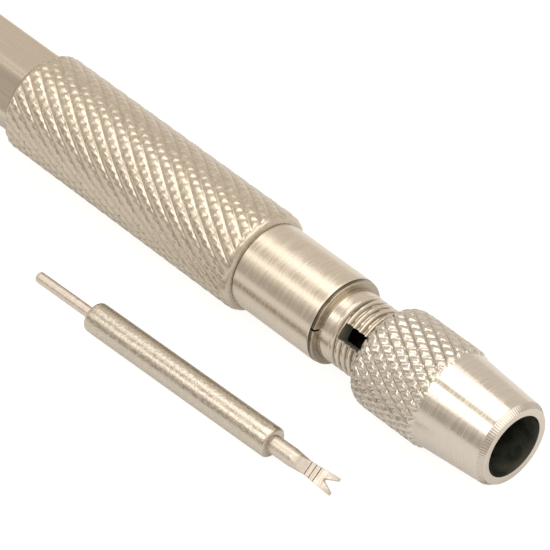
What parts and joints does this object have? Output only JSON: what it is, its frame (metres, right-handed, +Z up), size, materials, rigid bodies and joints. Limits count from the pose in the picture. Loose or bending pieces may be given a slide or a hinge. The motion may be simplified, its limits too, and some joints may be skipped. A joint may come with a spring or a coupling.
{
  "type": "spring bar tool",
  "caption": "Slim pin-vise style spring bar tool: hexagon between knurled grips, a slotted collet chuck with knurled nut at each end, and reversible bits with a pin and a fork.",
  "frame": {"origin": "centre of the bounding box's bottom, on the table that the tool and its loose bit lie on", "axes": "+X along the tool's axis towards the open front chuck, +Z up from the table, loose bit on the -Y side"},
  "size_m": [0.1178, 0.0156, 0.008],
  "materials": {
    "handle_nickel": "nickel plated, knurled grips and smooth hexagon",
    "sleeve_nickel": "nickel plated over fine turning marks",
    "nut_nickel": "bright nickel plate, knurled, smooth nose",
    "collet_steel": "turned and threaded, thin nickel plate",
    "ring_steel": "satin",
    "bit_body_steel": "grainy, cast look under nickel plate",
    "bit_tip_steel": "hardened and ground"
  },
  "bodies": {
    "handle": {"handle": "handle_nickel", "front_neck_sleeve": "sleeve_nickel", "rear_neck_sleeve": "sleeve_nickel", "front_split_ring": "ring_steel", "rear_split_ring": "ring_steel", "front_collet": "collet_steel", "rear_collet": "collet_steel"},
    "front_nut": {"front_chuck_nut": "nut_nickel"},
    "rear_nut": {"rear_chuck_nut": "nut_nickel"},
    "rear_bit": {"rear_bit_body": "bit_body_steel", "rear_bit_pin": "bit_tip_steel", "rear_bit_fork": "bit_tip_steel"},
    "loose_bit": {"loose_bit_body": "bit_body_steel", "loose_bit_pin": "bit_tip_steel", "loose_bit_fork": "bit_tip_steel"}
  },
  "joints": [
    {"name": "front_nut_travel", "type": "slide", "parent": "handle", "child": "front_nut", "axis": [1, 0, 0], "range_m": [-0.0016, 0.0058]},
    {"name": "rear_nut_travel", "type": "slide", "parent": "handle", "child": "rear_nut", "axis": [-1, 0, 0], "range_m": [0, 0.0074]},
    {"name": "rear_bit_slide", "type": "slide", "parent": "handle", "child": "rear_bit", "axis": [-1, 0, 0], "range_m": [-0.009, 0.022]},
    {"name": "loose_bit_slide", "type": "slide", "parent": "handle", "child": "loose_bit", "axis": [0.9993, 0.0375, 0], "range_m": [-0.006, 0.006]}
  ]
}
